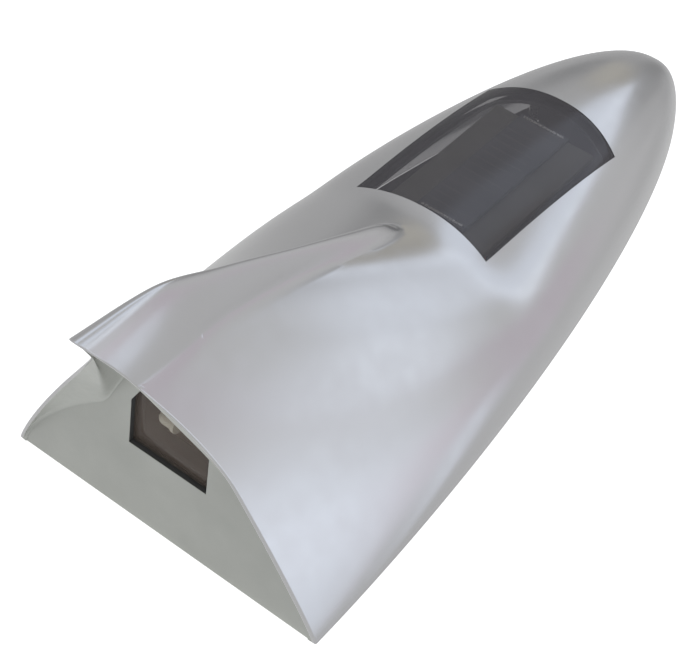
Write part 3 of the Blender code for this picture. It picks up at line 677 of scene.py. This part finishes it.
# ---- shell -------------------------------------------------------------------------------
def shell_rows(columns):
    """Rows of points from the nose back over the outside, round the rear rim and into the recess."""
    edge = settle(columns, 0.0, edge_station)
    start = edge + LIP
    share = (1 - np.cos(np.pi * np.arange(OUTER_ROWS) / OUTER_ROWS)) / 2
    station = start[None, :] + (BODY_LENGTH - start)[None, :] * share[:, None]
    outer = section_points(station, column_angle(columns[None, :], crease(station)))
    corner = section_points(edge, column_angle(columns, crease(edge)))
    rim_at = settle(columns, RIM, edge_station)
    rim = section_points(rim_at, column_angle(columns, crease(rim_at)), RIM)
    x, height = panel_outline(columns)
    mouth_rear = panel_points(x, height, 0.0)
    mouth_front = panel_points(x, height, PANEL_THICK)
    tuck_x, tuck_height = panel_outline(columns, COVE)
    tuck_top = panel_points(tuck_x, tuck_height, -2 * LIP_GAP)
    tuck_under = panel_points(tuck_x, tuck_height, -LIP_GAP)
    mouth_under = panel_points(x, height, -LIP_GAP)
    lip_end, turn_start = (corner + (rim - corner) * share for share in LIP_TURN)
    wall_start, cove_start = (rim + (mouth_rear - rim) * share for share in WALL_SPAN)
    rear = np.concatenate([
        outer[::-1],
        bezier(outer[0], corner, lip_end, LIP_STEPS), lip_end[None], turn_start[None],
        bezier(turn_start, rim, wall_start, RIM_STEPS),
        straight(wall_start, cove_start, WALL_ROWS), cove_start[None],
        bezier(cove_start, mouth_rear, tuck_top, COVE_STEPS), tuck_top[None], tuck_under[None],
        mouth_under[None], mouth_front[None]])
    begin = settle(columns, WALL, lambda h: lean(h) + PANEL_THICK + FLANGE)
    share = (1 - np.cos(np.pi * np.arange(INNER_ROWS) / INNER_ROWS)) / 2
    station = begin[None, :] + (BODY_LENGTH - WALL - begin)[None, :] * share[:, None]
    inner = section_points(station, column_angle(columns[None, :], crease(station)), WALL)
    reach = np.hypot(inner[0, :, 0], inner[0, :, 2] - FOOT)
    skin = section_radius(begin, column_angle(columns, crease(begin)))
    clear = np.minimum(np.hypot(x, height) + GAP, skin - THINNEST_WALL)
    spread = np.maximum(1.0, clear / reach)
    inner[0, :, 0] *= spread
    inner[0, :, 2] = FOOT + (inner[0, :, 2] - FOOT) * spread
    return np.concatenate([rear, inner])


def build_shell():
    rows = mirrored(shell_rows(half_columns()))
    count, width = rows.shape[:2]
    points = list(rows.reshape(-1, 3))
    faces = grid_faces(count, width)
    nose = len(points)
    points += [np.array([0.0, REAR_Y + BODY_LENGTH - inset, FOOT]) for inset in (0.0, WALL)]
    last = (count - 1) * width
    for j in range(width - 1):
        faces.append((j + 1, j, nose))
        faces.append((last + j, last + j + 1, nose + 1))
    for side in (0, width - 1):
        faces.append(tuple([nose] + [i * width + side for i in range(count)] + [nose + 1]))
    shell = make_object("shell", points, faces)
    cut(shell, plate("window_cutter", window_outline(), *WINDOW_CUT, upright))
    finish_piece(shell, "housing", "silver_paint", LOOKS["silver_paint"], "top_shell")
    shell.data.materials.append(LOOKS["panel_grey"])
    for face in shell.data.polygons:
        face.material_index = int(in_recess(face.center))


def in_recess(point):
    """True on the flared walls behind the rear panel, which the paint does not cover."""
    x, station, height = abs(point.x), point.y - REAR_Y, point.z - FOOT
    if station > lean(height) + PANEL_THICK:
        return False
    outer = float(section_radius(station, math.atan2(height, x)))
    return math.hypot(x, height) < outer - PAINT_EDGE


# ---- solar window ------------------------------------------------------------------------
def window_ends(x, inset):
    bow = 1 - (x / (WINDOW_HALF - inset)) ** 2
    return WINDOW_REAR + inset + REAR_BOW * bow, WINDOW_FRONT - inset + FRONT_BOW * bow


def window_outline():
    across = [WINDOW_HALF * (2 * i / WINDOW_STEPS - 1) for i in range(WINDOW_STEPS + 1)]
    rear = [(x, REAR_Y + window_ends(x, 0.0)[0]) for x in across]
    front = [(x, REAR_Y + window_ends(x, 0.0)[1]) for x in reversed(across)]
    return rear + front


def eased(count, length, radius):
    """Fractions 0..1 that crowd together within radius of both ends."""
    near = [radius * share / length for share in EDGE_SHARES]
    middle = [near[-1] + (1 - 2 * near[-1]) * i / count for i in range(1, count)]
    return np.array(near + middle + [1 - n for n in reversed(near)])


def edge_drop(distance, radius):
    inside = np.clip(radius - distance, 0, radius)
    return radius - np.sqrt(radius ** 2 - inside ** 2)


def window_sheet():
    """A closed sheet that follows the shell's back, with softly rounded upper edges."""
    half = WINDOW_HALF - WINDOW_GAP
    u = eased(PANE_STEPS[0], 2 * half, WINDOW_EDGE)
    v = eased(PANE_STEPS[1], WINDOW_FRONT - WINDOW_REAR, WINDOW_EDGE)
    x = half * (2 * u - 1)
    rear, front = window_ends(x, WINDOW_GAP)
    grid_x = np.broadcast_to(x, (len(v), len(u)))
    station = rear[None, :] + (front - rear)[None, :] * v[:, None]
    drop_x = edge_drop(half - np.abs(grid_x), WINDOW_EDGE)
    drop_y = edge_drop(np.minimum(station - rear, front - station), WINDOW_EDGE)
    top = surface_height(grid_x, station) - np.minimum(drop_x + drop_y, WINDOW_EDGE)
    low = surface_height(grid_x, station, WINDOW_THICK)
    levels = [np.stack([grid_x, REAR_Y + station, z], -1).reshape(-1, 3) for z in (top, low)]
    rows, columns = grid_x.shape
    shift = rows * columns
    faces = grid_faces(rows, columns) + [tuple(reversed(f)) for f in grid_faces(rows, columns, shift)]
    rim = list(range(columns)) + [i * columns + columns - 1 for i in range(1, rows)]
    rim += [(rows - 1) * columns + j for j in range(columns - 2, -1, -1)]
    rim += [i * columns for i in range(rows - 2, 0, -1)]
    for a, b in zip(rim, rim[1:] + rim[:1]):
        faces.append((b, a, a + shift, b + shift))
    return make_object("window_pane", np.concatenate(levels), faces, 50.0)


def tilted_box(name, size, centre, radius):
    half = [s / 2 for s in size]
    outline = [(-half[0], -half[1]), (half[0], -half[1]), (half[0], half[1]), (-half[0], half[1])]
    turn = Matrix.Rotation(CELL_TILT, 3, "X")

    def place(x, y, level):
        return tuple(turn @ Vector((x, y, level)) + Vector(centre))

    thing = plate(name, outline, -half[2], half[2], place)
    rounded(thing, radius)
    return thing


def build_solar_parts():
    finish_piece(window_sheet(), "housing", "smoked_plastic", LOOKS["window"], "solar_window")
    centre_z = FOOT + CELL_HEIGHT
    y = REAR_Y + CELL_STATION
    cell = tilted_box("silicon_cell", CELL_SIZE, (0, y, centre_z - CELL_SIZE[2] / 2), CELL_EDGE)
    finish_piece(cell, "housing", "solar_cell", LOOKS["solar_cell"], "solar_cell")
    tray_z = centre_z - CELL_SIZE[2] - FIT - TRAY_SIZE[2] / 2
    tray = tilted_box("cell_carrier", TRAY_SIZE, (0, y - TRAY_SHIFT, tray_z), TRAY_EDGE)
    finish_piece(tray, "housing", "tray", LOOKS["tray"], "cell_tray")
    for name, side in (("cell_busbar_front", 1), ("cell_busbar_rear", -1)):
        along = side * (CELL_SIZE[1] / 2 - BUSBAR_INSET)
        level = centre_z + along * math.tan(CELL_TILT) + BUSBAR_LIFT
        bar = tilted_box(name, BUSBAR_SIZE, (0, y + along, level), BUSBAR_EDGE)
        finish_piece(bar, "housing", "tinned_steel", LOOKS["steel"])


# ---- rear panel, lens and lamp -----------------------------------------------------------
def house(inset):
    """Outline of the lens, like the gable end of a house with its peak cut off."""
    half = LENS_HALF - inset
    peak = LENS_PEAK_HALF - inset * PEAK_INSET
    low, top = LENS_LOW + inset, LENS_PEAK - inset
    return [(-half, low), (half, low), (half, LENS_EAVES), (peak, top), (-peak, top), (-half, LENS_EAVES)]


def build_rear_panel():
    x, height = panel_outline(half_columns(), PANEL_GAP)
    right = [(float(a), max(float(b), PANEL_LOWEST)) for a, b in zip(x, height)]
    outline = right + [(-a, b) for a, b in reversed(right[:-1])]
    panel = plate("stern_panel", outline, 0.0, PANEL_THICK, leaning)
    cut(panel, plate("lens_cutter", house(0.0), -CUTTER_REACH, CUTTER_REACH, leaning))
    rounded(panel, PANEL_EDGE, 2, 50.0)
    finish_piece(panel, "housing", "panel_grey", LOOKS["panel_grey"], "rear_panel")
    # the walls of the lens opening get the near-black painted shade
    panel.data.materials.append(LOOKS["lens_wall_painted_shade"])
    for face in panel.data.polygons:
        face.material_index = int(on_lens_wall(face))


def on_lens_wall(face):
    """True on the walls of the lens opening, which get a near-black painted shade."""
    across = Vector((0, math.cos(PANEL_LEAN), -math.sin(PANEL_LEAN)))
    height = face.center.z - FOOT
    near_lens = abs(face.center.x) < LENS_HALF + GAP and LENS_LOW - GAP < height < LENS_PEAK + GAP
    return near_lens and abs(face.normal.dot(across)) < LENS_WALL_FACING


def build_rear_lens():
    lens = plate("stern_lens", house(LENS_GAP), LENS_SINK, LENS_SINK + LENS_THICK, leaning)
    rounded(lens, LENS_EDGE, 2)
    finish_piece(lens, "housing", "smoked_plastic", LOOKS["lens"], "rear_lens")
    bezel_rear = PANEL_THICK + GAP
    bezel = plate("lens_frame", house(-BEZEL_OUTSIDE), bezel_rear, bezel_rear + BEZEL_THICK, leaning)
    cut(bezel, plate("bezel_cutter", house(BEZEL_INSIDE), -CUTTER_REACH, CUTTER_REACH, leaning))
    rounded(bezel, BEZEL_EDGE, 2)
    finish_piece(bezel, "housing", "black_plastic", LOOKS["black_plastic"], "lens_bezel")


def lathe(name, profile_points, place, steps):
    """A closed turned piece about +X from (along, radius) points that start and end on the axis."""
    points, faces = [], []
    inner = profile_points[1:-1]
    for along, radius in inner:
        for k in range(steps):
            turn = 2 * math.pi * k / steps
            points.append((along, radius * math.cos(turn), radius * math.sin(turn)))
    for i in range(len(inner) - 1):
        for k in range(steps):
            a = i * steps + k
            b = i * steps + (k + 1) % steps
            faces.append((a, b, b + steps, a + steps))
    ends = [(profile_points[0][0], 0.0, 0.0), (profile_points[-1][0], 0.0, 0.0)]
    tip = len(points)
    points += ends
    for k in range(steps):
        faces.append((k, (k + 1) % steps, tip))
        faces.append((tip - steps + k, tip - steps + (k + 1) % steps, tip + 1))
    return make_object(name, [np.array(p) + np.array(place) for p in points], faces, 40.0)


def build_lamp():
    x, station, height = LAMP_POINT
    place = (x - LAMP_RADIUS, REAR_Y + station, FOOT + height)
    turns = [math.pi / 2 * i / DOME_STEPS for i in range(DOME_STEPS + 1)]
    dome = [(LAMP_RADIUS * (1 - math.cos(turn)), LAMP_RADIUS * math.sin(turn)) for turn in turns]
    brim = LAMP_RADIUS + BRIM
    end = LAMP_LENGTH + BRIM_THICK
    collar = [(LAMP_LENGTH, LAMP_RADIUS), (LAMP_LENGTH, brim - BRIM_EDGE), (LAMP_LENGTH + BRIM_EDGE, brim),
              (end - BRIM_EDGE, brim), (end, brim - BRIM_EDGE), (end, 0.0)]
    lamp = lathe("lamp_dome", dome + collar, place, DOME_SIDES)
    # the dome carries a painted highlight in its pale cream colour
    finish_piece(lamp, "housing", "clear_lamp", LOOKS["clear_lamp"], "lamp")
    cup = lathe("lamp_cup", CUP, (place[0] + CUP_DEPTH, place[1], place[2]), CUP_SIDES)
    finish_piece(cup, "housing", "tinned_steel", LOOKS["steel"])


# ---- CAD nodes that keep their shape -----------------------------------------------------
KEPT = {
    "window_seal": "seal", "base_seal": "seal", "lamp_lead_a": "steel", "lamp_lead_b": "steel",
    "lamp_board": "board_brown", "control_board": "board_green", "charge_chip": "black_plastic",
    "storage_capacitor": "black_plastic", "vibration_sensor": "steel", "light_sensor": "clear_lamp",
    "resistor_1": "resistor", "resistor_2": "resistor", "battery_cell": "green_wrap",
    "battery_clip": "white_plastic", "cell_wire_red": "red_wire", "cell_wire_black": "black_wire",
    "battery_wire_red": "red_wire", "battery_wire_black": "black_wire", "switch_body": "steel",
    "switch_slider": "white_plastic", "base_plate": "black_plastic", "base_screw_1": "steel",
    "base_screw_2": "steel", "base_screw_3": "steel", "base_screw_4": "steel", "board_screw_1": "steel",
    "board_screw_2": "steel",
}


def dress_kept_nodes():
    for node, look in KEPT.items():
        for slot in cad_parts[node].material_slots:
            slot.material = LOOKS[look]


def build_pad():
    """The foam pad, die-cut, with a softly crowned edge."""
    low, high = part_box("adhesive_pad")
    clear = WALL + PAD_INSET
    rear, front = low.y - REAR_Y, high.y - REAR_Y
    half = []
    for i in range(PAD_STEPS + 1):
        station = rear + (front - rear) * i / PAD_STEPS
        half.append((float(half_width(station)) - clear, REAR_Y + station))
    outline = half + [(-x, y) for x, y in reversed(half)]
    pad = plate("foam_pad", outline, low.z, high.z, upright)
    y = REAR_Y + SWITCH_STATION
    x, reach = PAD_HOLE[0] / 2, PAD_HOLE[1] / 2
    hole = [(-x, y - reach), (x, y - reach), (x, y + reach), (-x, y + reach)]
    cut(pad, plate("pad_cutter", hole, -CUTTER_REACH, CUTTER_REACH, upright))
    rounded(pad, PAD_EDGE)
    finish_piece(pad, "housing", "foam", LOOKS["foam"], "adhesive_pad")


# ---- stage -------------------------------------------------------------------------------
def build_floor():
    mesh = bpy.data.meshes.new("floor")
    signs = [(-1, -1), (1, -1), (1, 1), (-1, 1)]
    corners = [(FLOOR_REACH * x, FLOOR_REACH * y, FLOOR_LEVEL) for x, y in signs]
    mesh.from_pydata(corners, [], [(0, 1, 2, 3)])
    floor = bpy.data.objects.new("floor", mesh)
    bpy.context.scene.collection.objects.link(floor)
    look = Look("floor", (0.86, 0.86, 0.87), 0.9)
    look.vary(look.noise(3.0), 0.01)
    look.set("Emission Color", (1.0, 1.0, 1.0, 1.0))
    look.set("Emission Strength", 0.75)
    mesh.materials.append(look.material)
    floor.visible_glossy = False
    floor.visible_shadow = False


class Studio:
    """A soft studio all round: a grey room with feathered bright and dark cards in it."""

    def __init__(self, level):
        self.world = bpy.data.worlds.new("studio")
        self.world.use_nodes = True
        self.tree = self.world.node_tree
        self.direction = self.tree.nodes.new("ShaderNodeTexCoord").outputs["Generated"]
        self.background = self.tree.nodes["Background"]
        start = self.tree.nodes.new("ShaderNodeRGB")
        start.outputs[0].default_value = (level, level, level, 1.0)
        self.colour = start.outputs[0]

    def math(self, operation, first, second=None):
        made = self.tree.nodes.new("ShaderNodeMath")
        made.operation = operation
        for source, target in ((first, made.inputs[0]), (second, made.inputs[1])):
            if isinstance(source, float):
                target.default_value = source
            elif source is not None:
                self.tree.links.new(source, target)
        return made.outputs[0]

    def dot(self, axis):
        made = self.tree.nodes.new("ShaderNodeVectorMath")
        made.operation = "DOT_PRODUCT"
        self.tree.links.new(self.direction, made.inputs[0])
        made.inputs[1].default_value = axis
        return made.outputs["Value"]

    def fade(self, value, start, end):
        """1 where value is below start, 0 above end."""
        made = self.tree.nodes.new("ShaderNodeMapRange")
        made.interpolation_type = "SMOOTHSTEP"
        for socket, number in (("From Min", start), ("From Max", end), ("To Min", 1.0), ("To Max", 0.0)):
            made.inputs[socket].default_value = number
        self.tree.links.new(value, made.inputs["Value"])
        return made.outputs["Result"]

    def card(self, azimuth, elevation, width, height, level, tint, feather, roll=0.0):
        """A rectangular card seen at an azimuth (from +Y towards +X) and elevation, sizes in degrees."""
        a, e = math.radians(azimuth), math.radians(elevation)
        centre = Vector((math.sin(a) * math.cos(e), math.cos(a) * math.cos(e), math.sin(e)))
        side = Vector((math.cos(a), -math.sin(a), 0.0))
        turn = Matrix.Rotation(math.radians(roll), 3, centre)
        side = turn @ side
        up = side.cross(centre)
        ahead = self.math("MAXIMUM", self.dot(centre), 0.001)
        mask = None
        for axis, size in ((side, width), (up, height)):
            offset = self.math("ABSOLUTE", self.math("DIVIDE", self.dot(axis), ahead))
            start = math.tan(math.radians(max(size / 2 - feather / 2, 0.0)))
            end = math.tan(math.radians(size / 2 + feather / 2))
            edge = self.fade(offset, start, end)
            mask = edge if mask is None else self.math("MULTIPLY", mask, edge)
        mix = self.tree.nodes.new("ShaderNodeMix")
        mix.data_type = "RGBA"
        self.tree.links.new(mask, mix.inputs["Factor"])
        self.tree.links.new(self.colour, mix.inputs[6])
        mix.inputs[7].default_value = (*(level * t for t in tint), 1.0)
        self.colour = mix.outputs[2]

    def finish(self):
        self.tree.links.new(self.colour, self.background.inputs["Color"])
        bpy.context.scene.world = self.world


def build_lights():
    room = Studio(0.63)
    room.card(20, -42, 110, 44, 0.57, NEUTRAL, 20)      # the dim lower half of the room
    room.card(-40, 0, 60, 60, 0.46, NEUTRAL, 30)        # the dim side to port, with darker patches
    room.card(-4, 2, 34, 40, 0.38, NEUTRAL, 22)
    room.card(16, -22, 20, 20, 0.52, NEUTRAL, 14)
    room.card(-10, -3, 14, 18, 0.30, NEUTRAL, 12)
    room.card(-32, 9, 12, 16, 0.30, NEUTRAL, 12)
    room.card(17, 0, 14, 16, 0.53, NEUTRAL, 10)
    room.card(-16, 16, 14, 12, 0.44, WARM, 8)
    room.card(-22, 13, 5, 14, 0.54, WARM, 5)
    room.card(45, -6, 12, 30, 0.60, MAUVE, 10)
    room.card(14, 56, 60, 60, 0.98, COOL, 6)            # the large lamp overhead
    room.card(18, 27.5, 34, 5, 1.20, COOL, 4)           # bright strips along its lower edge
    room.card(50.6, 17.2, 6, 30, 1.35, COOL, 4, -48)
    room.card(-4, 25, 8, 16, 1.15, COOL, 5, 50)
    room.card(65, -4, 12, 24, 1.28, COOL, 6)            # the window to starboard
    room.card(55, 3, 3.5, 16, 0.72, NEUTRAL, 4)
    room.card(24, 50, 26, 18, 0.61, NEUTRAL, 8)
    room.card(-10, 10, 8, 8, 0.36, NEUTRAL, 5)
    room.card(6, -12, 14, 14, 0.46, NEUTRAL, 8)
    room.card(57, -10, 5, 12, 0.78, MAUVE, 5)
    room.card(66, -12, 6, 9, 0.95, COOL, 5)
    room.card(53, -21, 5, 12, 1.09, COOL, 4)
    room.finish()


def build_camera():
    camera = bpy.data.cameras.new("camera")
    camera.sensor_fit = "HORIZONTAL"
    camera.sensor_width = SENSOR
    camera.lens = CAMERA_LENS
    camera.clip_start = 0.01
    thing = bpy.data.objects.new("camera", camera)
    thing.location = CAMERA_AT
    thing.rotation_euler = (Vector(CAMERA_AIM) - Vector(CAMERA_AT)).to_track_quat("-Z", "Y").to_euler()
    bpy.context.scene.collection.objects.link(thing)
    bpy.context.scene.camera = thing


bpy.context.scene.view_settings.view_transform = "Standard"
build_camera()
build_shell()
build_solar_parts()
build_rear_panel()
build_rear_lens()
build_lamp()
build_pad()
dress_kept_nodes()
build_floor()
build_lights()
